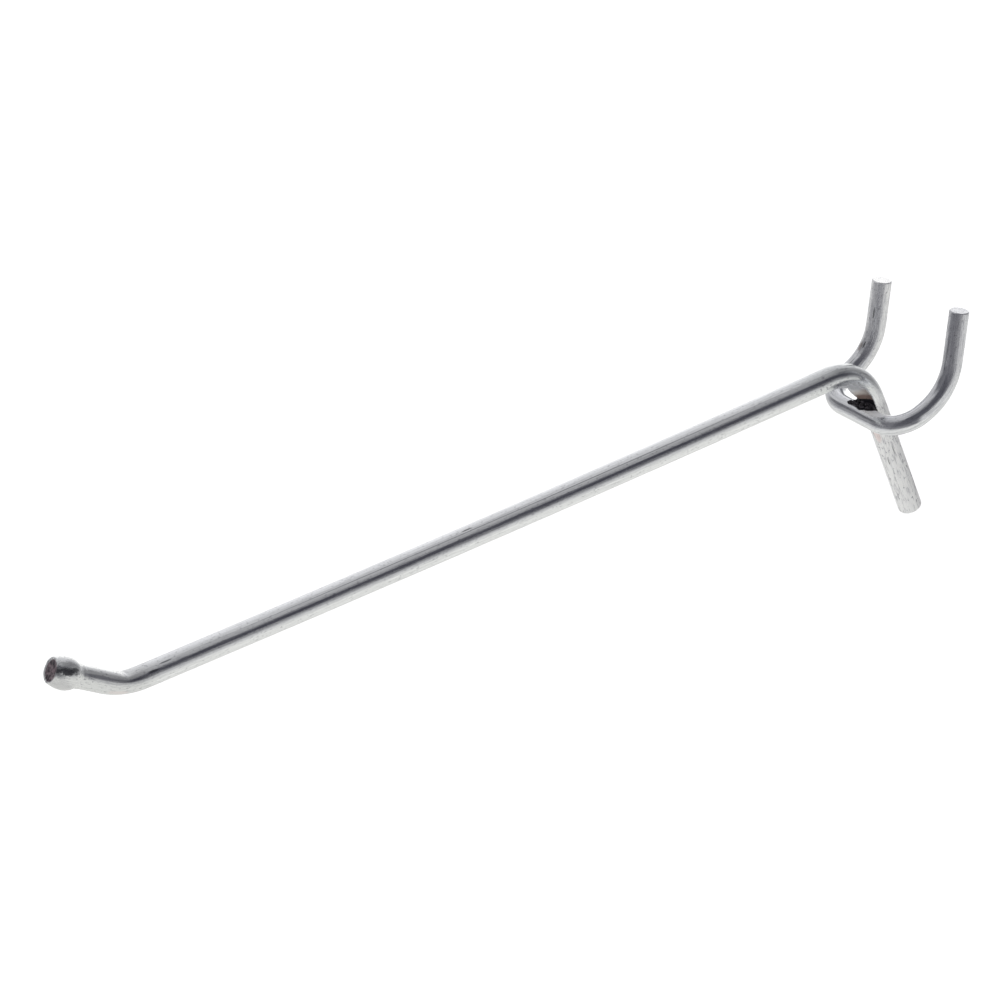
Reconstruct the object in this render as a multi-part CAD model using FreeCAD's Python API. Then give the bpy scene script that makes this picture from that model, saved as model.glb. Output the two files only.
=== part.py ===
import FreeCAD, Part
import math
import os

# A pegboard hook of zinc-plated round wire, in millimetres, as it hangs on the board.
# A thick wire makes the hanging arm, with an upturned headed tip in front and a leg behind that props
# the arm against the board. A thinner wire makes the yoke: a crossbar welded across the front of the
# leg, then back past both sides of it, through two holes of the board and up behind it as two prongs.
# The board's front face is the plane Y = 0. The arm points along -Y, the board's holes lie along X
# and Z is up. The origin is on the back of the leg, level with the short legs where they enter the board.

# Wires and board
arm_wire_d = 5.2
prong_wire_d = 4.3
hole_pitch = 25.4

# Hanging arm, from the leg's lower end to the tip
leg_below_weld = 29.3
leg_above_weld = 2.0
rear_bend_r = 11.6
arm_rise = 16.0
arm_run = 180.5
tip_bend_r = 20.0
tip_turn = 31.0
tip_run = 6.5
leg_end_round = 0.6

# Upset head on the tip
head_d = 7.1
head_length = 7.8
head_crest = 3.7
head_face_d = 5.4
head_face_skew = 15.0
head_edge_round = 0.4

# Yoke, from the crossbar to the prong tops
plan_corner_r = 6.9
short_leg_run = 1.1
short_leg_rise = 2.0
hook_bend_r = 12.2
prong_lean = 29.5
prong_run = 10.7
prong_offset = 0.9
prong_end_bevel = 0.2

# Weld of the crossbar on the leg
weld_sink = 0.8
flash_ring_r = 2.1
flash_bead_r = 0.9

arm_r = arm_wire_d / 2
prong_r = prong_wire_d / 2

# The leg leans on the board and the crossbar is sunk a little into the front of the leg
leg_y = -arm_r
crossbar_y = leg_y - arm_r - prong_r + weld_sink
crossbar_z = crossbar_y * math.tan(math.radians(short_leg_rise))


def direction(angle):
    """Unit vector in the YZ plane, turned up by angle from straight back towards the board."""
    turn = math.radians(angle)
    return FreeCAD.Vector(0, math.cos(turn), math.sin(turn))


def bent_path(point, heading, steps):
    """Follows a wire as a bender feeds it: each step is a straight run, or a bend to a new heading."""
    edges = []
    for step in steps:
        if len(step) == 1:
            end = point + heading * step[0]
            edges.append(Part.LineSegment(point, end).toShape())
        else:
            radius, new_heading = step
            turn = heading.getAngle(new_heading)
            inward = new_heading - heading * heading.dot(new_heading)
            inward.normalize()

            def on_bend(angle):
                return point + (heading * math.sin(angle) + inward * (1 - math.cos(angle))) * radius

            end = on_bend(turn)
            edges.append(Part.Arc(point, on_bend(turn / 2), end).toShape())
            heading = new_heading
        point = end
    return edges, point, heading


def swept_wire(edges, start, heading, radius):
    """Round wire along a path of runs and bends."""
    section = Part.Wire(Part.makeCircle(radius, start, heading))
    path = Part.Wire(Part.__sortEdges__(edges))
    return path.makePipeShell([section], True, False)


def end_rim(solid, centre, radius):
    """The sharp edge round a cut end of the wire."""
    return [edge for edge in solid.Edges
            if edge.Closed and abs(edge.Length - 2 * math.pi * radius) < 1e-3
            and edge.CenterOfMass.distanceToPoint(centre) < 1e-3]


def upset_head(base, heading):
    """Head forged on the tip: it swells from the wire to a crest and draws in to a face sheared off askew."""
    across = FreeCAD.Vector(1, 0, 0)

    def place(along, out):
        return base + heading * along + across * out

    crest_at = head_length - head_crest
    swell = head_d / 2 - arm_r
    swell_r = (crest_at ** 2 + swell ** 2) / (4 * swell)
    half_turn = math.asin(crest_at / 2 / swell_r) / 2
    bulge = swell_r * (1 - math.cos(half_turn))
    reach = swell_r * math.sin(half_turn)
    draw_in = (head_d - head_face_d) / 2
    nose_r = (head_crest ** 2 + draw_in ** 2) / (2 * draw_in)

    def on_nose(past_crest):
        return place(crest_at + past_crest,
                     head_d / 2 - nose_r + math.sqrt(nose_r ** 2 - past_crest ** 2))

    # The nose runs on past its face, and the shear then cuts it off
    skew = math.radians(head_face_skew)
    blank = head_crest + head_face_d / 2 * math.tan(skew)
    foot = place(0, arm_r)
    middle = place(crest_at / 2, arm_r + swell / 2)
    crest = place(crest_at, head_d / 2)
    outline = [
        Part.LineSegment(base, foot),
        Part.Arc(foot, place(reach, arm_r + bulge), middle),
        Part.Arc(middle, place(crest_at - reach, head_d / 2 - bulge), crest),
        Part.Arc(crest, on_nose(blank / 2), on_nose(blank)),
        Part.LineSegment(on_nose(blank), place(crest_at + blank, 0)),
        Part.LineSegment(place(crest_at + blank, 0), base),
    ]
    section = Part.Face(Part.Wire([curve.toShape() for curve in outline]))
    head = section.revolve(base, heading, 360)
    face_middle = place(head_length, 0)
    face_heading = heading * math.cos(skew) - across * math.sin(skew)
    head = head.cut(Part.makeCylinder(head_d, head_length, face_middle, face_heading))
    rim = [edge for edge in head.Edges
           if max(abs((point - face_middle).dot(face_heading)) for point in edge.discretize(9)) < 1e-3]
    return head.makeFillet(head_edge_round, rim)


def make_arm_wire():
    """Leg, rear bend, arm and upturned tip in one length of wire, with the head on its end."""
    start = FreeCAD.Vector(0, leg_y, crossbar_z - leg_below_weld)
    up = FreeCAD.Vector(0, 0, 1)
    steps = [
        (leg_below_weld + leg_above_weld,),
        (rear_bend_r, direction(180 - arm_rise)),
        (arm_run,),
        (tip_bend_r, direction(180 - arm_rise - tip_turn)),
        (tip_run,),
    ]
    edges, tip, heading = bent_path(start, up, steps)
    wire = swept_wire(edges, start, up, arm_r)
    wire = wire.makeFillet(leg_end_round, end_rim(wire, start, arm_r))
    return wire.fuse(upset_head(tip, heading)).removeSplitter()


def make_prong_wire():
    """Crossbar, plan corners, short legs, hook bends and prongs in one length of wire."""
    middle = FreeCAD.Vector(0, crossbar_y, crossbar_z)
    edges = []
    tops = []
    for side in (-1, 1):
        across = FreeCAD.Vector(side, 0, 0)
        steps = [
            (hole_pitch / 2 - plan_corner_r,),
            (plan_corner_r, direction(short_leg_rise)),
            (short_leg_run,),
            (hook_bend_r, direction(90 - prong_lean)),
            (prong_run + side * prong_offset,),
        ]
        half, top, heading = bent_path(middle, across, steps)
        edges += half
        tops.append(top)
    wire = swept_wire(edges, tops[0], heading, prong_r)
    for top in tops:
        wire = wire.makeChamfer(prong_end_bevel, end_rim(wire, top, prong_r))
    return wire.removeSplitter()


def make_weld_flash(arm_wire, prong_wire):
    """Metal pressed out all round the weld: a ring-shaped bead, less the two wires that it lies between."""
    contact = FreeCAD.Vector(0, crossbar_y + prong_r - weld_sink / 2, crossbar_z)
    bead = Part.makeTorus(flash_ring_r, flash_bead_r, contact, FreeCAD.Vector(0, 1, 0))
    return bead.cut(prong_wire).cut(arm_wire)


prong_wire = make_prong_wire()
arm_wire = make_arm_wire().cut(prong_wire)
weld_flash = make_weld_flash(arm_wire, prong_wire)

os.makedirs("parts", exist_ok=True)
for name, shape in (("arm_wire", arm_wire), ("prong_wire", prong_wire), ("weld_flash", weld_flash)):
    print(name, "solids", len(shape.Solids), "valid", shape.isValid(), "mm3", round(shape.Volume, 2))
    shape.exportStep("parts/" + name + ".step")
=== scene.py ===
import math

import bpy
from mathutils import Matrix, Quaternion, Vector, noise
from mathutils.kdtree import KDTree


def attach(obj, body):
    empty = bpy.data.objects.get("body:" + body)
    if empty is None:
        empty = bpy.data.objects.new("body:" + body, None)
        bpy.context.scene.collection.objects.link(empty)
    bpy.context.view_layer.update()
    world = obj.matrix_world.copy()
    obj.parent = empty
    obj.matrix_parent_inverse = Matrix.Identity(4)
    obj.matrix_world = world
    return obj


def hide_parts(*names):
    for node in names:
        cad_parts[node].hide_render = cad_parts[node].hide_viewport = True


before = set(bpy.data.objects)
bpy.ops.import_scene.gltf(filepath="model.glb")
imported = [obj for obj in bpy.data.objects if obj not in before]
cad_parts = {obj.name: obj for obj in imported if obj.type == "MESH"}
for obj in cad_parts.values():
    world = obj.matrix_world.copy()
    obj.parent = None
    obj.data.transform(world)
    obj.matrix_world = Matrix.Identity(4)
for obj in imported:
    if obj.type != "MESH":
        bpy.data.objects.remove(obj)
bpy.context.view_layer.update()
bpy.ops.object.select_all(action="DESELECT")
print("stage: frame loaded")

mm = 0.001
metre = 1000.0
across = Vector((1, 0, 0))
up = Vector((0, 0, 1))
smoothAngle = 35.0
mergeDistance = 0.000001

# the board's front face is the plane Y = 0, the arm points along -Y and the hook hangs as it is used
armWire = {
    "wire": 5.2, "legBelowWeld": 29.3, "legAboveWeld": 2.0, "rearBend": 11.6,
    "rise": 16.0, "run": 180.5, "tipBend": 20.0, "tipTurn": 31.0, "tipRun": 6.5,
    "legEndRound": 0.6, "bow": 0.59, "crease": 0.9,
    # how finely it is fed and bent, the leg and the tip more so
    "sides": 72, "stepLength": 4.0, "fineLength": 4.0 / 6, "stepTurn": 3.0, "fineTurn": 1.0,
    "roundSteps": 4, "footRings": 5,
    # dents on the leg: the height of their middle, how far they reach, size and depth
    "dentHeight": -20.0, "dentReach": 40.0, "dentSize": 1.4, "dent": 0.05,
    # metal squeezed out above the weld, inside the rear bend: its middle, reach, heading and height
    "upsetAt": (-0.6, -5.4, 5.2), "upsetReach": 3.6, "upsetHeading": (-0.5, -0.8, 0.0), "upset": 0.75,
}
tipHead = {
    "crestWide": 7.1, "length": 7.8, "crest": 3.7, "faceWide": 5.4, "faceSkew": 15.0, "edgeRound": 0.4,
    "loops": 12, "faceLoops": 14, "roundSteps": 5, "rimSpare": 0.2, "ringSpare": 0.1, "neckRidge": 0.09,
    # lumps all over it, from a little before its neck
    "lump": 0.1, "lumpSize": 2.2, "lumpShift": (3.1, 0.4, 7.7), "lumpBefore": 2.0, "lumpRise": 1.5,
    # the face is dished, and grained where it was torn
    "faceDish": 0.2, "faceGrain": 0.13, "faceDeep": 0.1, "grainSize": 1.3, "grainRise": 3.0,
    "grainFractal": (1.0, 2.0, 4),
}
prongWire = {
    "wire": 4.3, "pitch": 25.4, "planCorner": 6.9, "shortRun": 1.1, "shortRise": 2.0,
    "hookBend": 12.2, "lean": 29.5, "run": 10.7, "offset": 0.9, "endBevel": 0.2,
    "sides": 64, "stepLength": 1.2, "crossbarStep": 0.6, "stepTurn": 3.5,
    "faceRings": (0.85, 0.7, 0.55, 0.4, 0.25, 0.12),
    "dentReach": 2.2, "dentSize": 0.8, "dent": 0.09,
}
weld = {
    "sink": 0.8, "ring": 2.1, "bead": 0.9, "ringSides": 120, "beadSides": 48,
    "lump": 0.22, "lumpSize": 0.9, "lumpFractal": (0.9, 2.1, 4),
    # crusts spat out on the crossbar: place along it, turn round it, size, thickness
    "crusts": ((-2.0, 90, 1.1, 0.65), (-1.2, 100, 1.5, 0.8), (-0.4, 95, 1.4, 0.65), (0.9, 104, 1.6, 0.6),
               (-2.7, 84, 0.6, 0.45), (2.3, 114, 1.3, 0.4)),
    "crustSplits": 5, "crustLift": 0.15, "crustNarrow": 0.8,
}


def rising(angle):
    # heading in the YZ plane, turned up by angle from straight back towards the board
    turn = math.radians(angle)
    return Vector((0, math.cos(turn), math.sin(turn)))


crossbarY = -(armWire["wire"] + prongWire["wire"] / 2 - weld["sink"])
crossbarZ = crossbarY * math.tan(math.radians(prongWire["shortRise"]))
crossbarMiddle = Vector((0, crossbarY, crossbarZ))
weldPoint = Vector((0, crossbarY + (prongWire["wire"] - weld["sink"]) / 2, crossbarZ))
legLength = armWire["legBelowWeld"] - armWire["legEndRound"] + armWire["legAboveWeld"]
armHeading = rising(180 - armWire["rise"])


# making a wire as a bender does: feed a run, turn a bend, and note each ring for the straightened coordinates
def startWire(name, at, heading, side, radius, sides):
    bpy.ops.object.select_all(action="DESELECT")
    bpy.ops.mesh.primitive_circle_add(vertices=sides, radius=radius * mm, location=at * mm,
                                      rotation=heading.to_track_quat("Z", "Y").to_euler())
    piece = bpy.context.object
    piece.name = name
    piece.data.name = name
    bpy.ops.object.transform_apply(location=True, rotation=True, scale=True)
    bpy.ops.object.mode_set(mode="EDIT")
    bpy.ops.mesh.select_all(action="SELECT")
    wire = {"piece": piece, "radius": radius, "at": at.copy(), "heading": heading.copy(),
            "side": side.copy(), "along": 0.0, "rings": []}
    noteRing(wire)
    return wire


def noteRing(wire):
    wire["rings"].append((wire["at"].copy(), wire["heading"].copy(), wire["side"].copy(), wire["along"]))


def feed(wire, length, steps):
    for step in range(steps):
        move = wire["heading"] * (length / steps)
        bpy.ops.mesh.extrude_region_move(TRANSFORM_OT_translate={"value": move * mm})
        wire["at"] += move
        wire["along"] += length / steps
        noteRing(wire)


def feedRun(wire, length, stepLength):
    feed(wire, length, max(1, round(length / stepLength)))


def turnBend(wire, heading, radius, stepTurn):
    turn = wire["heading"].angle(heading)
    axis = wire["heading"].cross(heading).normalized()
    centre = wire["at"] + axis.cross(wire["heading"]) * radius
    steps = max(2, round(math.degrees(turn) / stepTurn))
    bpy.ops.mesh.spin(steps=steps, angle=turn, center=centre * mm, axis=-axis)
    arm, start, side, along = wire["at"] - centre, wire["heading"].copy(), wire["side"].copy(), wire["along"]
    for step in range(1, steps + 1):
        swing = Quaternion(axis, turn * step / steps)
        wire["at"] = centre + swing @ arm
        wire["heading"] = swing @ start
        wire["side"] = swing @ side
        wire["along"] = along + radius * turn * step / steps
        noteRing(wire)


def resizeRing(wire, share):
    bpy.ops.transform.resize(value=(share, share, share), center_override=wire["at"] * mm)


def capEnd(wire, profile):
    # profile: (feed, radius) pairs from the rim to the middle of the cut face
    radius = wire["radius"]
    for length, newRadius in profile:
        feed(wire, length, 1)
        resizeRing(wire, newRadius / radius)
        radius = newRadius
    bpy.ops.mesh.merge(type="CENTER")


def turnBack(wire, at, heading, side):
    # goes to the open ring at the other end, to close it too
    bpy.ops.mesh.select_all(action="DESELECT")
    bpy.ops.mesh.select_non_manifold()
    wire["at"], wire["heading"], wire["side"], wire["along"] = at.copy(), -heading, side.copy(), 0.0


def roundedProfile(radius, edge, steps, faceRings):
    corner = [math.pi / 2 * step / steps for step in range(steps + 1)]
    profile = []
    for last, turn in zip(corner, corner[1:]):
        profile.append((edge * (math.sin(turn) - math.sin(last)), radius - edge * (1 - math.cos(turn))))
    face = radius - edge
    return profile + [(0.0, face * (1 - (i + 1) / (faceRings + 1))) for i in range(faceRings)]


def finishWire(wire):
    bpy.ops.mesh.select_all(action="SELECT")
    bpy.ops.mesh.remove_doubles(threshold=mergeDistance)
    bpy.ops.mesh.normals_make_consistent(inside=False)
    bpy.ops.object.mode_set(mode="OBJECT")
    layStraight(wire)
    return wire["piece"]


def layStraight(wire):
    # "laid" is each point's place in millimetres on the wire before it was bent
    mesh = wire["piece"].data
    tree = KDTree(len(wire["rings"]))
    for index, ring in enumerate(wire["rings"]):
        tree.insert(ring[0] * mm, index)
    tree.balance()
    mesh.attributes.new("laid", "FLOAT_VECTOR", "POINT")
    mesh.attributes.new("cut", "FLOAT", "POINT")
    laid = mesh.attributes["laid"]
    for vertex in mesh.vertices:
        at, heading, side, along = wire["rings"][tree.find(vertex.co)[1]]
        offset = vertex.co * metre - at
        laid.data[vertex.index].vector = (offset.dot(side), offset.dot(heading.cross(side)), along)


def noteCut(piece, middle, heading, radius, deep=0.3):
    # "cut" rises from 0 at the rim of a cut face to 1 in its middle, for the points no deeper than deep
    cut = piece.data.attributes["cut"].data
    for vertex in piece.data.vertices:
        spot = vertex.co * metre - middle
        depth = spot.dot(heading)
        if depth > -deep:
            cut[vertex.index].value = max(0.0, 1 - (spot - heading * depth).length / radius)


def dent(piece, centre, reach, size, amount, direction=None, fade=3.0):
    # presses points in by a smooth noise, fading out at reach from centre, all in millimetres
    for vertex in piece.data.vertices:
        spot = vertex.co * metre
        share = max(0.0, 1 - (spot - centre).length / reach)
        if share > 0.0:
            depth = abs(noise.noise(spot / size)) * amount * min(1.0, share * fade)
            vertex.co -= (direction or vertex.normal) * depth * mm


def finishPiece(piece, nodeName, material):
    bpy.ops.object.select_all(action="DESELECT")
    piece.select_set(True)
    bpy.context.view_layer.objects.active = piece
    bpy.ops.object.shade_smooth_by_angle(angle=math.radians(smoothAngle))
    piece.data.materials.clear()
    piece.data.materials.append(material)
    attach(piece, "root")
    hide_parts(nodeName)
    print("stage:", piece.name, "has", len(piece.data.polygons), "faces")


def headProfile():
    # the head's radius along its length: it swells from the wire to the crest and draws in past the face
    wire = armWire["wire"] / 2
    crestAt = tipHead["length"] - tipHead["crest"]
    crest = tipHead["crestWide"] / 2
    face = tipHead["faceWide"] / 2
    nose = (tipHead["crest"] ** 2 + (crest - face) ** 2) / (2 * (crest - face))
    swell = (crestAt ** 2 + (crest - wire) ** 2) / (4 * (crest - wire))
    stations = []
    for step in range(1, tipHead["loops"] + 1):
        along = crestAt * step / tipHead["loops"]
        if along < crestAt / 2:
            radius = wire + swell - math.sqrt(swell ** 2 - along ** 2)
        else:
            radius = crest - swell + math.sqrt(swell ** 2 - (crestAt - along) ** 2)
        stations.append((along, radius))
    blank = tipHead["crest"] + face * math.tan(math.radians(tipHead["faceSkew"]))
    for step in range(1, tipHead["loops"] + 1):
        past = blank * step / tipHead["loops"]
        stations.append((crestAt + past, crest - nose + math.sqrt(nose ** 2 - past ** 2)))
    return stations


def makeHead(wire):
    # the blank is drawn out past the face, cut off askew, and its rim rounded over
    base, start, last = wire["at"].copy(), wire["radius"], 0.0
    for along, newRadius in headProfile():
        if last == 0.0:
            newRadius += tipHead["neckRidge"]
        feed(wire, along - last, 1)
        resizeRing(wire, newRadius / start)
        start, last = newRadius, along
    skew = math.radians(tipHead["faceSkew"])
    heading = wire["heading"].copy()
    faceHeading = heading * math.cos(skew) - across * math.sin(skew)
    faceMiddle = base + heading * tipHead["length"]
    edge = tipHead["edgeRound"]
    rim = faceMiddle - faceHeading * edge
    bpy.ops.mesh.select_all(action="SELECT")
    bpy.ops.mesh.bisect(plane_co=rim * mm, plane_no=faceHeading, clear_outer=True)
    spare = tipHead["ringSpare"]
    wire["rings"] = [ring for ring in wire["rings"] if (ring[0] - rim).dot(faceHeading) < spare]
    wire["at"], wire["heading"] = rim.copy(), faceHeading
    wire["radius"] = tipHead["faceWide"] / 2 + edge * tipHead["rimSpare"]
    capEnd(wire, roundedProfile(wire["radius"], edge, tipHead["roundSteps"], tipHead["faceLoops"]))
    return faceMiddle, faceHeading


def roughenHead(piece, faceMiddle, faceHeading):
    # the head is a little lumpy and its face a rough dished cut
    face = tipHead["faceWide"] / 2
    lumpFrom = tipHead["length"] + tipHead["lumpBefore"]
    for vertex in piece.data.vertices:
        spot = vertex.co * metre - faceMiddle
        depth = spot.dot(faceHeading)
        out = (spot - faceHeading * depth).length
        if depth > -lumpFrom:
            share = min(1.0, (lumpFrom + depth) / tipHead["length"] * tipHead["lumpRise"])
            place = spot / tipHead["lumpSize"] + Vector(tipHead["lumpShift"])
            vertex.co -= vertex.normal * (abs(noise.noise(place)) * tipHead["lump"] * share) * mm
        if depth > -tipHead["faceDeep"] and out < face:
            hollow = 1 - (out / face) ** 2
            grain = abs(noise.fractal(spot / tipHead["grainSize"], *tipHead["grainFractal"]))
            grain = grain * tipHead["faceGrain"] * min(1.0, hollow * tipHead["grainRise"])
            vertex.co -= faceHeading * (hollow * tipHead["faceDish"] + grain) * mm


def pressCrease(piece):
    # the bender's edge leaves a crease across the inside of the tip bend
    heading = rising(180 - armWire["rise"] - armWire["tipTurn"] / 2)
    inward = heading.cross(across)
    inner = armWire["tipBend"] - armWire["wire"] / 2
    half = math.radians(armWire["tipTurn"]) / 2
    turned = armWire["rearBend"] * math.radians(90 - armWire["rise"])
    middle = legLength + turned + armWire["run"] + armWire["tipBend"] * half
    laid = piece.data.attributes["laid"].data
    for vertex in piece.data.vertices:
        side, high, along = laid[vertex.index].vector
        turn = half - abs(along - middle) / armWire["tipBend"]
        if turn > 0 and high > 0:
            depth = inner * (1 / math.cos(turn) - 1) * armWire["crease"]
            vertex.co -= inward * depth * (high / math.hypot(side, high)) ** 2 * mm


def swellUpset(piece):
    middle, heading = Vector(armWire["upsetAt"]), Vector(armWire["upsetHeading"]).normalized()
    for vertex in piece.data.vertices:
        share = 1 - ((vertex.co * metre - middle).length / armWire["upsetReach"]) ** 2
        if share > 0:
            vertex.co += heading * share ** 2 * armWire["upset"] * mm


def bowArm(piece):
    # the arm sags a little between its two bends
    down = across.cross(armHeading).normalized()
    rearCorner = Vector((0, -armWire["wire"] / 2, crossbarZ + armWire["legAboveWeld"]))
    setback = armWire["rearBend"] * math.tan(math.radians(90 - armWire["rise"]) / 2)
    rearCorner.z += setback
    tipSetback = armWire["tipBend"] * math.tan(math.radians(armWire["tipTurn"]) / 2)
    length = setback + armWire["run"] + tipSetback
    for vertex in piece.data.vertices:
        share = (vertex.co * metre - rearCorner).dot(armHeading) / length
        if 0 < share < 1:
            vertex.co += down * (1 - (2 * share - 1) ** 2) * armWire["bow"] * mm


def makeArmWire():
    radius = armWire["wire"] / 2
    foot = Vector((0, -radius, crossbarZ - armWire["legBelowWeld"] + armWire["legEndRound"]))
    wire = startWire("armWire", foot, up, across, radius, armWire["sides"])
    feedRun(wire, legLength, armWire["fineLength"])
    turnBend(wire, armHeading, armWire["rearBend"], armWire["stepTurn"])
    feedRun(wire, armWire["run"], armWire["stepLength"])
    tipHeading = rising(180 - armWire["rise"] - armWire["tipTurn"])
    turnBend(wire, tipHeading, armWire["tipBend"], armWire["fineTurn"])
    feedRun(wire, armWire["tipRun"], armWire["fineLength"])
    faceMiddle, faceHeading = makeHead(wire)
    wire["radius"] = radius
    turnBack(wire, foot, up, across)
    capEnd(wire, roundedProfile(radius, armWire["legEndRound"], armWire["roundSteps"], armWire["footRings"]))
    piece = finishWire(wire)
    noteCut(piece, faceMiddle, faceHeading, tipHead["faceWide"] / 2)
    noteCut(piece, foot - up * armWire["legEndRound"], -up, radius)
    roughenHead(piece, faceMiddle, faceHeading)
    dentMiddle = Vector((0, -radius, armWire["dentHeight"]))
    dent(piece, dentMiddle, armWire["dentReach"], armWire["dentSize"], armWire["dent"])
    pressCrease(piece)
    swellUpset(piece)
    bowArm(piece)
    return piece


def makeProngWire():
    radius = prongWire["wire"] / 2
    lean = rising(90 - prongWire["lean"])
    short = rising(prongWire["shortRise"])
    bevel = prongWire["endBevel"]
    farRun = prongWire["run"] - prongWire["offset"] - bevel
    nearRun = prongWire["run"] + prongWire["offset"] - bevel
    # the route of one side, to find where the far prong's top is
    cornerEnd = crossbarMiddle + across * prongWire["pitch"] / 2 + short * prongWire["planCorner"]
    hookStart = cornerEnd + short * prongWire["shortRun"]
    turn = short.angle(lean)
    inward = (lean - short * short.dot(lean)).normalized()
    hookEnd = hookStart + (short * math.sin(turn) + inward * (1 - math.cos(turn))) * prongWire["hookBend"]
    farTop = hookEnd + lean * farRun
    farTop.x = -farTop.x
    wire = startWire("prongWire", farTop, -lean, across, radius, prongWire["sides"])
    feedRun(wire, farRun, prongWire["stepLength"])
    turnBend(wire, -short, prongWire["hookBend"], prongWire["stepTurn"])
    feedRun(wire, prongWire["shortRun"], prongWire["stepLength"])
    turnBend(wire, across, prongWire["planCorner"], prongWire["stepTurn"])
    feedRun(wire, prongWire["pitch"] - 2 * prongWire["planCorner"], prongWire["crossbarStep"])
    turnBend(wire, short, prongWire["planCorner"], prongWire["stepTurn"])
    feedRun(wire, prongWire["shortRun"], prongWire["stepLength"])
    turnBend(wire, lean, prongWire["hookBend"], prongWire["stepTurn"])
    feedRun(wire, nearRun, prongWire["stepLength"])
    profile = [(bevel / 2, radius - bevel / 2), (bevel / 2, radius - bevel)]
    profile += [(0.0, (radius - bevel) * share) for share in prongWire["faceRings"]]
    nearTop = wire["at"].copy()
    capEnd(wire, profile)
    turnBack(wire, farTop, -lean, across)
    capEnd(wire, profile)
    piece = finishWire(wire)
    for top in (nearTop, farTop):
        middle = top + lean * bevel
        noteCut(piece, middle, lean, radius)
        dent(piece, middle, prongWire["dentReach"], prongWire["dentSize"], prongWire["dent"], lean)
    return piece


def makeWeldFlash():
    bpy.ops.object.select_all(action="DESELECT")
    bpy.ops.mesh.primitive_torus_add(
        major_radius=weld["ring"] * mm, minor_radius=weld["bead"] * mm, major_segments=weld["ringSides"],
        minor_segments=weld["beadSides"], location=weldPoint * mm, rotation=(math.pi / 2, 0, 0))
    bead = bpy.context.object
    parts = [bead]
    for x, turn, wide, thick in weld["crusts"]:
        # turn runs from the front of the crossbar over its top
        angle = math.radians(turn)
        out = Vector((0, -math.cos(angle), math.sin(angle)))
        spot = crossbarMiddle + across * x + out * (prongWire["wire"] / 2 + thick * weld["crustLift"])
        bpy.ops.mesh.primitive_ico_sphere_add(
            subdivisions=weld["crustSplits"], radius=wide / 2 * mm, location=spot * mm,
            rotation=out.to_track_quat("Z", "Y").to_euler())
        crust = bpy.context.object
        crust.scale = (1.0, weld["crustNarrow"], thick / wide * 2)
        parts.append(crust)
    bpy.ops.object.select_all(action="DESELECT")
    for part in parts:
        part.select_set(True)
    bpy.context.view_layer.objects.active = bead
    bpy.ops.object.join()
    bead.name = "weldFlash"
    bead.data.name = "weldFlash"
    bpy.ops.object.transform_apply(location=True, rotation=True, scale=True)
    for vertex in bead.data.vertices:
        spot = vertex.co * metre
        lump = noise.fractal(spot / weld["lumpSize"], *weld["lumpFractal"]) * weld["lump"]
        vertex.co += vertex.normal * lump * mm
    return bead


# shader tools
def addNode(tree, kind, **settings):
    node = tree.nodes.new(kind)
    for key, value in settings.items():
        setattr(node, key, value)
    return node


def newGroup(name, vectors, numbers, outputs):
    tree = bpy.data.node_groups.new(name, "ShaderNodeTree")
    for label in vectors:
        tree.interface.new_socket(label, in_out="INPUT", socket_type="NodeSocketVector")
    for label, value in numbers.items():
        socket = tree.interface.new_socket(label, in_out="INPUT", socket_type="NodeSocketFloat")
        socket.default_value = value
    for label in outputs:
        tree.interface.new_socket(label, in_out="OUTPUT", socket_type="NodeSocketFloat")
    return tree, addNode(tree, "NodeGroupInput"), addNode(tree, "NodeGroupOutput")


def useGroup(tree, group, values, links):
    node = addNode(tree, "ShaderNodeGroup", node_tree=group)
    for label, value in values.items():
        node.inputs[label].default_value = value
    for label, socket in links.items():
        tree.links.new(socket, node.inputs[label])
    return node.outputs


def fill(tree, socket, value):
    if isinstance(value, (int, float)):
        socket.default_value = value
    elif isinstance(value, (tuple, Vector)):
        socket.default_value = (*value, 1.0) if socket.type == "RGBA" else value
    elif value is not None:
        tree.links.new(value, socket)


def maths(tree, operation, first, second=None, third=None, clamp=False):
    node = addNode(tree, "ShaderNodeMath", operation=operation, use_clamp=clamp)
    for index, value in enumerate((first, second, third)):
        fill(tree, node.inputs[index], value)
    return node.outputs[0]


def vectorMaths(tree, operation, first, second=None, scale=None):
    node = addNode(tree, "ShaderNodeVectorMath", operation=operation)
    for index, value in ((0, first), (1, second), (3, scale)):
        fill(tree, node.inputs[index], value)
    return node.outputs["Value" if operation in ("LENGTH", "DISTANCE") else "Vector"]


def spread(tree, value, low, high, toLow=0.0, toHigh=1.0):
    node = addNode(tree, "ShaderNodeMapRange", interpolation_type="SMOOTHSTEP")
    for index, entry in enumerate((value, low, high, toLow, toHigh)):
        fill(tree, node.inputs[index], entry)
    return node.outputs[0]


def stretched(tree, vector, scale, shift=(0, 0, 0)):
    node = addNode(tree, "ShaderNodeMapping")
    node.inputs["Scale"].default_value = scale
    node.inputs["Location"].default_value = shift
    tree.links.new(vector, node.inputs["Vector"])
    return node.outputs[0]


def cloud(tree, vector, scale, detail, rough):
    node = addNode(tree, "ShaderNodeTexNoise")
    node.inputs["Scale"].default_value = scale
    node.inputs["Detail"].default_value = detail
    node.inputs["Roughness"].default_value = rough
    tree.links.new(vector, node.inputs["Vector"])
    return node.outputs["Fac"]


def blendColour(tree, share, first, second):
    node = addNode(tree, "ShaderNodeMix", data_type="RGBA")
    for socket, value in ((node.inputs[0], share), (node.inputs[6], first), (node.inputs[7], second)):
        fill(tree, socket, value)
    return node.outputs[2]


def splitVector(tree, vector):
    node = addNode(tree, "ShaderNodeSeparateXYZ")
    tree.links.new(vector, node.inputs[0])
    return node.outputs


def newMaterial(name):
    material = bpy.data.materials.new(name)
    material.use_nodes = True
    return material, material.node_tree, material.node_tree.nodes["Principled BSDF"]


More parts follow.
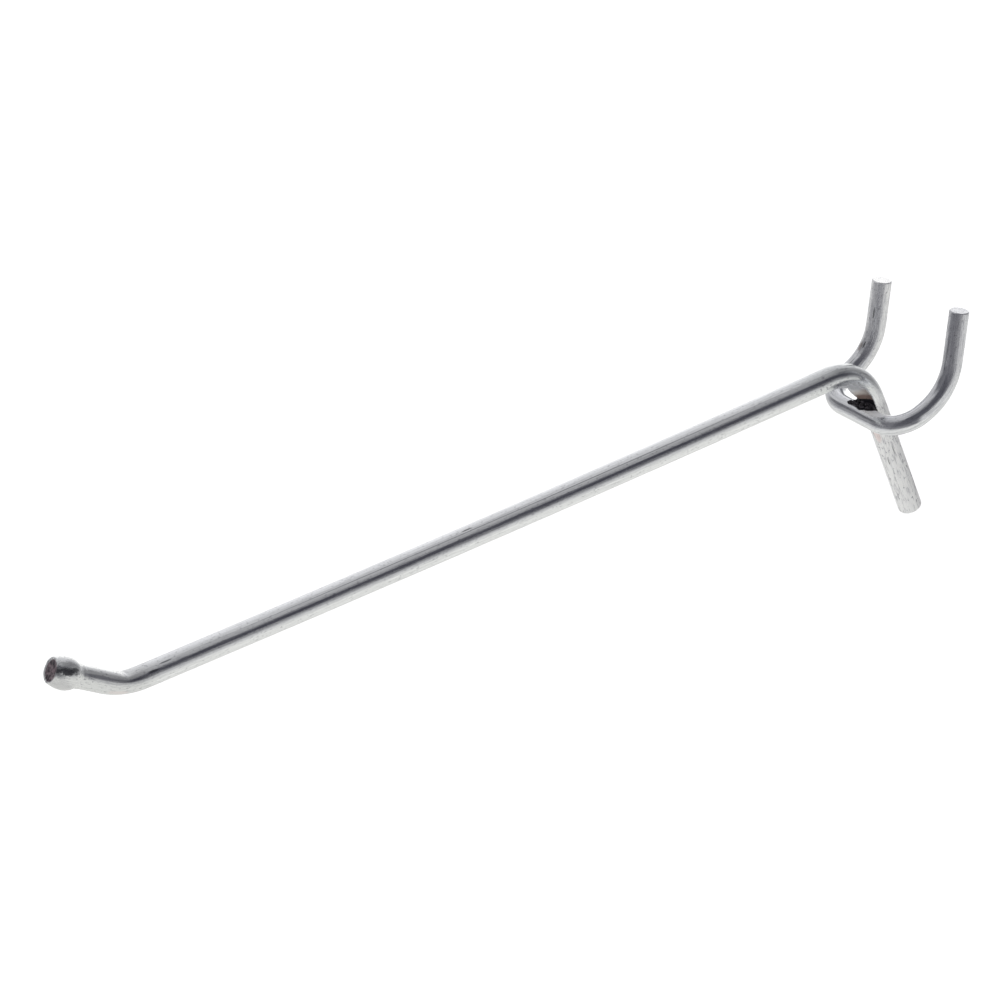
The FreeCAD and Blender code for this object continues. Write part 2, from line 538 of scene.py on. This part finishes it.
def bumpNormal(tree, shader, height, strength, distance):
    bump = addNode(tree, "ShaderNodeBump")
    bump.inputs["Strength"].default_value = strength
    bump.inputs["Distance"].default_value = distance
    tree.links.new(height, bump.inputs["Height"])
    tree.links.new(bump.outputs["Normal"], shader.inputs["Normal"])


# what the drawing die leaves along the wire: stretch on the straightened wire, shift, detail, roughness, and
# the levels of the noise between which the effect comes in
drawn = {
    "Lines": ((2.8, 2.8, 0.05), (0, 0, 0), 4.0, 0.7, 0.32, 0.68),
    "Scratches": ((3.4, 3.4, 0.36), (7, 3, 1), 4.0, 0.65, 0.48, 0.7),
    "Streaks": ((1.3, 1.3, 0.12), (2, 9, 4), 3.0, 0.6, 0.42, 0.62),
    "Pits": ((2.2, 2.2, 1.4), (5, 1, 8), 3.0, 0.6, 0.58, 0.68),
}
# the ragged edges of the heat colours with their painted shade, and of the marks and painted reflections
heatAndShadeEdge = {"size": 1.6, "detail": 4.0, "rough": 0.65, "turnRagged": 6.0, "turnSoft": 3.0}
markAndReflectionEdge = {"stretch": (3.5, 3.5, 1.2), "detail": 3.0, "rough": 0.6, "from": 0.55, "to": 1.05}


def makeDrawLines():
    tree, source, sink = newGroup("drawLines", ["Laid"], {"Fineness": 1.0, "Seed": 0.0}, drawn)
    laid = vectorMaths(tree, "SCALE", source.outputs["Laid"], scale=source.outputs["Fineness"])
    spot = vectorMaths(tree, "ADD", laid, source.outputs["Seed"])
    for label, (stretch, shift, detail, rough, low, high) in drawn.items():
        grain = cloud(tree, stretched(tree, spot, stretch, shift), 1.0, detail, rough)
        tree.links.new(spread(tree, grain, low, high), sink.inputs[label])
    return tree


def makeWeldHeatAndShade():
    # a heat colour with painted shade, by distance in millimetres from its middle, with a ragged fading edge,
    # and none past a turn of Limit degrees round the wire, where the painted shade ends in a sharp line
    tree, source, sink = newGroup("weldHeatAndShade", ["Place", "Spot", "Laid"],
                                  {"Reach": 2.0, "Fade": 1.0, "Ragged": 1.0, "Limit": 200.0}, ["Mask"])
    scaled = vectorMaths(tree, "SCALE", source.outputs["Place"], scale=metre)
    away = vectorMaths(tree, "DISTANCE", scaled, source.outputs["Spot"])
    grain = cloud(tree, scaled, heatAndShadeEdge["size"], heatAndShadeEdge["detail"], heatAndShadeEdge["rough"])
    ragged = maths(tree, "SUBTRACT", grain, 0.5)
    distance = maths(tree, "MULTIPLY_ADD", ragged, source.outputs["Ragged"], away)
    outer = maths(tree, "ADD", source.outputs["Reach"], source.outputs["Fade"])
    near = spread(tree, distance, source.outputs["Reach"], outer, 1.0, 0.0)
    parts = splitVector(tree, source.outputs["Laid"])
    turn = maths(tree, "DEGREES", maths(tree, "ARCTAN2", parts["Y"], parts["X"]))
    turn = maths(tree, "MULTIPLY_ADD", ragged, heatAndShadeEdge["turnRagged"], turn)
    limit, soft = source.outputs["Limit"], heatAndShadeEdge["turnSoft"]
    inside = spread(tree, turn, maths(tree, "SUBTRACT", limit, soft), maths(tree, "ADD", limit, soft), 1.0, 0.0)
    tree.links.new(maths(tree, "MULTIPLY", near, inside), sink.inputs["Mask"])
    return tree


def makeMarkAndReflection():
    # one patch on the wire, each a scuff, a drawn line, a painted highlight or a painted reflection line: where
    # it is along and around the wire, its half length and half width
    tree, source, sink = newGroup(
        "markAndReflection", ["Laid"], {"Along": 0.0, "Angle": 0.0, "Length": 1.0, "Width": 0.2, "Ragged": 0.5}, ["Mask"])
    laid = source.outputs["Laid"]
    parts = splitVector(tree, laid)
    turn = maths(tree, "ARCTAN2", parts["Y"], parts["X"])
    around = maths(tree, "SUBTRACT", turn, maths(tree, "RADIANS", source.outputs["Angle"]))
    around = maths(tree, "WRAP", around, math.pi, -math.pi)
    radius = vectorMaths(tree, "LENGTH", vectorMaths(tree, "MULTIPLY", laid, (1.0, 1.0, 0.0)))
    wide = maths(tree, "DIVIDE", maths(tree, "MULTIPLY", around, radius), source.outputs["Width"])
    past = maths(tree, "SUBTRACT", parts["Z"], source.outputs["Along"])
    long = maths(tree, "DIVIDE", past, source.outputs["Length"])
    squares = maths(tree, "ADD", maths(tree, "POWER", wide, 2.0), maths(tree, "POWER", long, 2.0))
    grain = cloud(tree, stretched(tree, laid, markAndReflectionEdge["stretch"]), 1.0, markAndReflectionEdge["detail"], markAndReflectionEdge["rough"])
    ragged = maths(tree, "MULTIPLY", maths(tree, "SUBTRACT", grain, 0.5), source.outputs["Ragged"])
    reach = maths(tree, "ADD", maths(tree, "SQRT", squares), ragged)
    mask = spread(tree, reach, markAndReflectionEdge["from"], markAndReflectionEdge["to"], 1.0, 0.0)
    tree.links.new(mask, sink.inputs["Mask"])
    return tree


# what both wires' zinc shares: how much rougher a dull spot, a scratch and the torn face are, how much less
# metallic the face is, where a cut face begins, its rust's noise, and the bump of scratches and pits
zinc = {
    "dullRough": 0.5, "scratchRough": 0.12, "faceRough": 0.35, "faceDull": 0.9,
    "cutFrom": 0.06, "cutTo": 0.16, "rustSize": 1.3, "rustDetail": 4.0, "rustRough": 0.6,
    "rustFrom": 0.4, "rustTo": 0.62, "scratchDeep": 0.8, "pitDeep": 1.5, "bump": 0.12, "bumpDistance": 0.0001,
}


def cutColours(tree, look, cut, along, spot, colour):
    # the cut ends: the head's torn face is rusty and the others are bare, as are all before faceFrom on the wire
    cutEdge = spread(tree, cut, zinc["cutFrom"], zinc["cutTo"])
    face = maths(tree, "MULTIPLY", cutEdge, spread(tree, along, look["faceFrom"], look["faceFrom"] + 1.0))
    bare = maths(tree, "SUBTRACT", cutEdge, face)
    scaled = stretched(tree, spot, (metre, metre, metre))
    grain = cloud(tree, scaled, zinc["rustSize"], zinc["rustDetail"], zinc["rustRough"])
    rust = blendColour(tree, spread(tree, grain, zinc["rustFrom"], zinc["rustTo"]), *look["faceColours"])
    colour = blendColour(tree, face, colour, rust)
    return face, blendColour(tree, bare, colour, look["bareColour"])


def makeZinc(name, groups, look):
    material, tree, shader = newMaterial(name)
    spot = addNode(tree, "ShaderNodeTexCoord").outputs["Object"]
    laid = addNode(tree, "ShaderNodeAttribute", attribute_name="laid").outputs["Vector"]
    cut = addNode(tree, "ShaderNodeAttribute", attribute_name="cut").outputs["Fac"]
    along = splitVector(tree, laid)["Z"]
    lines = useGroup(tree, groups["lines"], {"Fineness": look["fineness"], "Seed": look["seed"]}, {"Laid": laid})
    colour = blendColour(tree, lines["Lines"], look["dark"], look["light"])
    rough = maths(tree, "MULTIPLY_ADD", lines["Lines"], look["lineRough"],
                  look["roughness"] - look["lineRough"] / 2)
    wear, worn, metal = look["scratch"], look["pits"], 1.0
    for low, high, soft, stretchColour, share, rougher, scratched, pitted, duller in look["stretches"]:
        stretch = maths(tree, "MULTIPLY", spread(tree, along, low - soft, low + soft),
                        spread(tree, along, high - soft, high + soft, 1.0, 0.0))
        colour = blendColour(tree, maths(tree, "MULTIPLY", stretch, share), colour, stretchColour)
        rough = maths(tree, "MULTIPLY_ADD", stretch, rougher, rough)
        wear = maths(tree, "MULTIPLY_ADD", stretch, scratched, wear)
        worn = maths(tree, "MULTIPLY_ADD", stretch, pitted, worn)
        metal = maths(tree, "MULTIPLY_ADD", stretch, -duller, metal)
    streaks = maths(tree, "MULTIPLY", lines["Streaks"], look["streak"])
    colour = blendColour(tree, streaks, colour, look["streakColour"])
    scratches = maths(tree, "MULTIPLY", lines["Scratches"], wear, clamp=True)
    colour = blendColour(tree, scratches, colour, look["scratchColour"])
    pits = maths(tree, "MULTIPLY", lines["Pits"], worn, clamp=True)
    colour = blendColour(tree, pits, colour, look["pitColour"])
    # marks, painted highlights and painted reflection lines laid over the colour
    for placeAlong, angle, length, width, ragged, strength, markAndReflectionColour, duller in look["marksAndReflections"]:
        values = {"Along": placeAlong, "Angle": angle, "Length": length, "Width": width, "Ragged": ragged}
        mask = useGroup(tree, groups["markAndReflection"], values, {"Laid": laid})["Mask"]
        share = maths(tree, "MULTIPLY", mask, strength)
        colour = blendColour(tree, share, colour, markAndReflectionColour)
        if duller > 0:
            rough = maths(tree, "MULTIPLY_ADD", share, duller * zinc["dullRough"], rough)
            metal = maths(tree, "MULTIPLY_ADD", share, -duller, metal)
    # heat colours round the weld, with painted shade
    for heatAndShadeMiddle, reach, fade, ragged, strength, heatAndShadeColour, duller in look["heatsAndShade"]:
        values = {"Spot": heatAndShadeMiddle, "Reach": reach, "Fade": fade, "Ragged": ragged, "Limit": look["heatAndShadeLimit"]}
        mask = useGroup(tree, groups["heatAndShade"], values, {"Place": spot, "Laid": laid})["Mask"]
        share = maths(tree, "MULTIPLY", mask, strength)
        colour = blendColour(tree, share, colour, heatAndShadeColour)
        rough = maths(tree, "MULTIPLY_ADD", share, duller * zinc["dullRough"], rough)
        metal = maths(tree, "MULTIPLY_ADD", share, -duller, metal, clamp=True)
    face, colour = cutColours(tree, look, cut, along, spot, colour)
    tree.links.new(colour, shader.inputs["Base Color"])
    rough = maths(tree, "MULTIPLY_ADD", scratches, zinc["scratchRough"], rough)
    rough = maths(tree, "MULTIPLY_ADD", face, zinc["faceRough"], rough, clamp=True)
    tree.links.new(rough, shader.inputs["Roughness"])
    metal = maths(tree, "MULTIPLY_ADD", face, -zinc["faceDull"], metal, clamp=True)
    tree.links.new(metal, shader.inputs["Metallic"])
    height = maths(tree, "MULTIPLY_ADD", scratches, -zinc["scratchDeep"], lines["Lines"])
    height = maths(tree, "MULTIPLY_ADD", pits, -zinc["pitDeep"], height)
    bumpNormal(tree, shader, height, zinc["bump"], zinc["bumpDistance"])
    return material


# the black scale on the weld: its colours and the noise that mixes and bumps them
scaleLook = {
    "dark": (0.008, 0.007, 0.009), "light": (0.11, 0.1, 0.115), "metallic": 0.4, "roughness": 0.5,
    "size": 2.5, "detail": 5.0, "rough": 0.65, "from": 0.4, "to": 0.7, "bump": 0.6, "bumpDistance": 0.0002,
}


def makeScale():
    material, tree, shader = newMaterial("weldScale")
    shader.inputs["Metallic"].default_value = scaleLook["metallic"]
    shader.inputs["Roughness"].default_value = scaleLook["roughness"]
    spot = addNode(tree, "ShaderNodeTexCoord").outputs["Object"]
    scaled = stretched(tree, spot, (metre, metre, metre))
    grain = cloud(tree, scaled, scaleLook["size"], scaleLook["detail"], scaleLook["rough"])
    share = spread(tree, grain, scaleLook["from"], scaleLook["to"])
    tree.links.new(blendColour(tree, share, scaleLook["dark"], scaleLook["light"]), shader.inputs["Base Color"])
    bumpNormal(tree, shader, grain, scaleLook["bump"], scaleLook["bumpDistance"])
    return material


# stretches of the wire: from, to, soft edge, colour and its share, then how much rougher, more scratched,
# more pitted and less metallic
# marks and painted reflections (scuffs, drawn lines, painted highlights and painted dark reflection lines):
# place along, angle round, half length, half width, raggedness, strength, colour, and how much less metallic,
# which makes it rougher too
# heat colours with painted shade: middle, reach, fade, raggedness, strength, colour, and how much less metallic,
# with none past heatAndShadeLimit degrees round the wire
armLook = {
    "roughness": 0.09, "lineRough": 0.05, "fineness": 1.0, "seed": 0.0,
    "dark": (0.84, 0.85, 0.86), "light": (0.97, 0.98, 0.99), "streak": 0.22, "streakColour": (0.76, 0.77, 0.78),
    "scratch": 0.2, "scratchColour": (0.46, 0.46, 0.49), "pits": 0.4, "pitColour": (0.36, 0.36, 0.39),
    "stretches": (
        (-5.0, 30.0, 2.0, (0.99, 0.99, 0.98), 0.8, 0.3, 0.65, 0.45, 0.4),
        (33.0, 52.0, 5.0, (0.74, 0.76, 0.76), 0.75, 0.02, 0.25, 0.35, 0.0),
        (226.0, 260.0, 3.0, (0.76, 0.77, 0.77), 0.8, 0.02, 0.25, 0.3, 0.0),
    ),
    "marksAndReflections": (
        # painted reflection: two thin dark lines along the arm stand for dark surroundings mirrored in the zinc
        (130.0, 60.0, 95.0, 0.13, 0.3, 0.65, (0.3, 0.3, 0.33), 0.0),
        (150.0, 68.0, 60.0, 0.1, 0.3, 0.35, (0.4, 0.4, 0.43), 0.0),
        (143.2, 72.5, 1.6, 0.17, 0.6, 0.85, (0.13, 0.13, 0.14), 0.0),
        (39.5, -62.0, 9.0, 2.1, 0.6, 0.85, (0.72, 0.73, 0.75), 0.5),
        (22.5, -68.0, 3.2, 1.0, 0.8, 0.5, (0.88, 0.68, 0.64), 0.0),
        (6.5, 46.0, 4.2, 0.22, 0.5, 0.8, (0.22, 0.22, 0.24), 0.0),
        (17.2, -15.0, 1.8, 0.13, 0.5, 0.75, (0.2, 0.2, 0.22), 0.0),
        (14.5, -55.0, 1.3, 0.16, 0.6, 0.75, (0.22, 0.22, 0.23), 0.0),
        (13.0, 11.0, 0.6, 0.3, 0.8, 0.5, (0.3, 0.3, 0.33), 0.0),
        (233.0, 98.0, 3.0, 1.0, 0.5, 0.6, (0.5, 0.5, 0.52), 0.0),
        # painted highlight: a white patch on the crease of the tip bend, with less metal
        (233.2, 66.0, 0.45, 0.9, 0.5, 0.95, (1.0, 1.0, 1.0), 0.3),
        (232.2, 70.0, 0.3, 0.8, 0.5, 0.5, (0.35, 0.35, 0.38), 0.0),
        (249.5, -50.0, 4.6, 2.6, 0.6, 0.75, (0.62, 0.62, 0.63), 0.1),
        (250.4, 19.0, 3.9, 0.95, 1.4, 0.95, (0.03, 0.03, 0.04), 0.5),
        (247.6, 32.0, 1.2, 0.5, 1.0, 0.8, (0.05, 0.05, 0.06), 0.3),
        (247.0, 60.0, 3.0, 1.6, 1.3, 0.4, (0.4, 0.4, 0.42), 0.2),
        (239.8, 27.5, 5.6, 0.5, 0.3, 0.5, (0.38, 0.38, 0.43), 0.0),
        (221.6, 57.5, 1.8, 0.2, 0.6, 0.75, (0.15, 0.15, 0.17), 0.0),
        (225.2, 37.5, 1.6, 0.3, 0.6, 0.7, (0.1, 0.1, 0.13), 0.0),
        (234.0, -38.0, 3.0, 0.8, 0.8, 0.35, (0.86, 0.72, 0.7), 0.0),
    ),
    # round the weld: heat tint and black scorch, with painted shade in the gap under the rear bend, cut off in a
    # sharp painted shade line along the leg
    "heatAndShadeLimit": -25.0,
    "heatsAndShade": (
        (Vector((1.4, -5.0, 4.0)), 1.6, 2.2, 1.4, 0.75, (0.5, 0.43, 0.37), 0.35),
        (Vector((1.0, -5.2, 2.9)), 1.6, 1.2, 1.3, 0.85, (0.12, 0.065, 0.05), 0.5),
        (Vector((0.6, -4.9, 0.8)), 2.6, 0.35, 0.6, 1.0, (0.005, 0.0045, 0.007), 0.95),
    ),
    "faceFrom": 100.0, "faceColours": ((0.028, 0.02, 0.027), (0.16, 0.12, 0.135)),
    "bareColour": (0.92, 0.92, 0.94),
}
prongLook = {
    "roughness": 0.12, "lineRough": 0.07, "fineness": 1.1, "seed": 31.0,
    "dark": (0.76, 0.77, 0.79), "light": (0.93, 0.94, 0.96), "streak": 0.35, "streakColour": (0.64, 0.65, 0.69),
    "scratch": 0.4, "scratchColour": (0.36, 0.36, 0.4), "pits": 0.3, "pitColour": (0.3, 0.3, 0.33),
    "stretches": (
        (-5.0, 17.0, 4.0, (0.98, 0.98, 0.98), 0.75, 0.1, 0.3, 0.35, 0.2),
        (66.0, 100.0, 4.0, (0.7, 0.7, 0.73), 0.6, 0.08, 0.4, 0.4, 0.0),
    ),
    "marksAndReflections": (
        # painted highlight: a white patch on the top of the crossbar and its corner, with less metal
        (44.2, 64.0, 5.0, 1.9, 0.4, 1.0, (0.98, 0.98, 0.99), 0.7),
        (6.8, 64.0, 1.6, 0.2, 0.6, 0.8, (0.14, 0.15, 0.15), 0.0),
        (15.0, 77.0, 1.2, 0.25, 0.6, 0.85, (0.1, 0.1, 0.1), 0.0),
        (15.8, 98.0, 1.6, 0.5, 0.8, 0.75, (0.3, 0.26, 0.24), 0.0),
        (20.5, 82.0, 1.8, 0.1, 0.4, 0.8, (0.2, 0.2, 0.2), 0.0),
        (20.0, 96.0, 1.6, 0.08, 0.4, 0.7, (0.25, 0.25, 0.25), 0.0),
    ),
    "heatAndShadeLimit": 200.0,
    "heatsAndShade": (
        # black scorch on the crossbar round the weld, with painted shade where its top faces the leg
        (Vector((-0.7, -5.25, 1.8)), 1.6, 0.3, 0.5, 1.0, (0.006, 0.005, 0.008), 0.95),
        (Vector((0.9, -5.3, 1.8)), 1.75, 0.3, 0.5, 1.0, (0.006, 0.005, 0.008), 0.95),
        (Vector((2.5, -5.0, 1.6)), 1.5, 0.3, 0.5, 1.0, (0.006, 0.005, 0.008), 0.95),
    ),
    "faceFrom": 1000.0, "faceColours": ((0.9, 0.9, 0.9), (0.9, 0.9, 0.9)),
    "bareColour": (1.0, 1.0, 1.0),
}

shot = {
    # the camera at the photograph's angle: degrees, and millimetres
    "azimuth": 62.996, "elevation": 36.546, "roll": -20.826, "distance": 2500.0,
    "target": (-37.2625, -75.1747, 10.845), "lens": 424.423, "sensor": 36.0,
    # in metres
    "clipStart": 0.05, "clipEnd": 50.0,
}
studio = {
    # the floor in millimetres, but in metres where its lift to white doubles
    "floorDrop": 250.0, "floorSize": 6000.0, "floorColour": (0.9, 0.9, 0.9), "floorRough": 0.9,
    "floorLift": 0.56, "floorFar": (0.4, 1.6),
    # lamps in metres and watts
    "keySize": 1.4, "keyPower": 14.0, "keyPlace": (-0.6, -0.9, 1.6),
    "fillSize": 1.0, "fillPower": 12.0, "fillPlace": (1.33, -1.33, 0.68), "lampTarget": (0, -0.1, 0),
    # the room that the metal mirrors, with the arm level in it: below, round about and above
    "armTilt": 16.0, "below": (0.81, 0.81, 0.785), "belowTo": -20.0, "belowSoft": 18.0,
    "around": (0.565, 0.565, 0.575), "above": (0.26, 0.26, 0.27), "aboveFrom": 80.0, "aboveSoft": 18.0,
    # its panels: azimuth, half width, elevation, half height, soft edge, colour
    "panels": (
        (-131, 28, 17.5, 27.5, 23.5, (0.8, 0.8, 0.82)),
        (161, 23.5, 21, 36.5, 12, (0.28, 0.28, 0.29)),
        (26.5, 79, 18.5, 37.5, 12.5, (0.19, 0.19, 0.205)),
        (72, 59, 47.5, 33.5, 3, (0.1, 0.1, 0.115)),
        (130.5, 17, 18.5, 20, 13.5, (0.055, 0.055, 0.07)),
        (102, 10.5, 3, 19.5, 9.5, (0.77, 0.77, 0.76)),
        (-30, 33.5, -24, 7, 15, (0.84, 0.84, 0.84)),
        (-57, 14.5, 4.5, 16, 3.5, (0.36, 0.36, 0.37)),
        (-52, 12, 20, 6.5, 3.5, (0.1, 0.1, 0.11)),
        (-137, 15, -6, 22, 6, (1.2, 1.2, 1.19)),
    ),
}


def makeCamera():
    azimuth, elevation, roll = (math.radians(shot[key]) for key in ("azimuth", "elevation", "roll"))
    back = Vector((math.sin(azimuth) * math.cos(elevation), -math.cos(azimuth) * math.cos(elevation),
                   math.sin(elevation)))
    level = up.cross(back).normalized()
    upright = back.cross(level)
    right = level * math.cos(roll) + upright * math.sin(roll)
    upright = back.cross(right)
    data = bpy.data.cameras.new("camera")
    camera = bpy.data.objects.new("camera", data)
    bpy.context.scene.collection.objects.link(camera)
    data.lens = shot["lens"]
    data.sensor_width = shot["sensor"]
    data.clip_start = shot["clipStart"]
    data.clip_end = shot["clipEnd"]
    place = Matrix.Translation((Vector(shot["target"]) + back * shot["distance"]) * mm)
    camera.matrix_world = place @ Matrix((right, upright, back)).transposed().to_4x4()
    bpy.context.scene.camera = camera


def makeFloor():
    bpy.ops.object.select_all(action="DESELECT")
    bpy.ops.mesh.primitive_plane_add(size=studio["floorSize"] * mm, location=(0, 0, -studio["floorDrop"] * mm))
    floor = bpy.context.object
    floor.name = "floor"
    material, tree, shader = newMaterial("floor")
    shader.inputs["Base Color"].default_value = (*studio["floorColour"], 1.0)
    shader.inputs["Roughness"].default_value = studio["floorRough"]
    shader.inputs["Specular IOR Level"].default_value = 0.0
    shader.inputs["Emission Strength"].default_value = studio["floorLift"]
    # lifted to white for the camera, more so far off, and seen through from below
    path = addNode(tree, "ShaderNodeLightPath")
    away = vectorMaths(tree, "LENGTH", addNode(tree, "ShaderNodeTexCoord").outputs["Object"])
    far = spread(tree, away, *studio["floorFar"])
    glow = blendColour(tree, far, (1.0, 1.0, 1.0), (2.0, 2.0, 2.0))
    glow = blendColour(tree, path.outputs["Is Camera Ray"], (0.0, 0.0, 0.0), glow)
    tree.links.new(glow, shader.inputs["Emission Color"])
    behind = addNode(tree, "ShaderNodeNewGeometry").outputs["Backfacing"]
    tree.links.new(maths(tree, "SUBTRACT", 1.0, behind), shader.inputs["Alpha"])
    floor.data.materials.append(material)
    floor.visible_glossy = False


def within(tree, offset, half, soft):
    # 1 up to half on both sides, with a soft edge to 0
    return spread(tree, maths(tree, "ABSOLUTE", offset), half - soft, half + soft, 1.0, 0.0)


def makeWorld():
    world = bpy.data.worlds.new("studio")
    bpy.context.scene.world = world
    world.use_nodes = True
    tree = world.node_tree
    background = tree.nodes["Background"]
    turned = addNode(tree, "ShaderNodeVectorRotate", rotation_type="X_AXIS")
    turned.inputs["Angle"].default_value = math.radians(studio["armTilt"])
    tree.links.new(addNode(tree, "ShaderNodeTexCoord").outputs["Generated"], turned.inputs["Vector"])
    parts = splitVector(tree, turned.outputs[0])
    elevation = maths(tree, "DEGREES", maths(tree, "ARCSINE", parts["Z"]))
    azimuth = maths(tree, "ARCTAN2", parts["X"], maths(tree, "MULTIPLY", parts["Y"], -1.0))
    azimuth = maths(tree, "DEGREES", azimuth)
    edge, soft = studio["belowTo"], studio["belowSoft"]
    share = spread(tree, elevation, edge - soft, edge + soft)
    level = blendColour(tree, share, studio["below"], studio["around"])
    edge, soft = studio["aboveFrom"], studio["aboveSoft"]
    level = blendColour(tree, spread(tree, elevation, edge - soft, edge + soft), level, studio["above"])
    for middle, halfWide, height, halfHigh, soft, colour in studio["panels"]:
        sideways = maths(tree, "WRAP", maths(tree, "SUBTRACT", azimuth, middle), 180.0, -180.0)
        upright = maths(tree, "SUBTRACT", elevation, height)
        share = maths(tree, "MULTIPLY", within(tree, sideways, halfWide, soft),
                      within(tree, upright, halfHigh, soft))
        level = blendColour(tree, share, level, colour)
    path = addNode(tree, "ShaderNodeLightPath")
    level = blendColour(tree, path.outputs["Is Camera Ray"], level, (1.0, 1.0, 1.0))
    tree.links.new(level, background.inputs["Color"])
    background.inputs["Strength"].default_value = 1.0


def makeLamp(name):
    data = bpy.data.lights.new(name, "AREA")
    data.shape = "SQUARE"
    data.size = studio[name + "Size"]
    data.energy = studio[name + "Power"]
    lamp = bpy.data.objects.new(name, data)
    bpy.context.scene.collection.objects.link(lamp)
    lamp.location = studio[name + "Place"]
    lamp.rotation_euler = (Vector(studio["lampTarget"]) - lamp.location).to_track_quat("-Z", "Y").to_euler()
    lamp.visible_glossy = False


makeCamera()
print("stage: camera set")
groups = {"lines": makeDrawLines(), "heatAndShade": makeWeldHeatAndShade(), "markAndReflection": makeMarkAndReflection()}
finishPiece(makeArmWire(), "arm_wire", makeZinc("armZinc", groups, armLook))
finishPiece(makeProngWire(), "prong_wire", makeZinc("prongZinc", groups, prongLook))
finishPiece(makeWeldFlash(), "weld_flash", makeScale())
makeFloor()
makeWorld()
makeLamp("key")
makeLamp("fill")
bpy.context.scene.view_settings.view_transform = "Standard"
print("stage: studio lit")
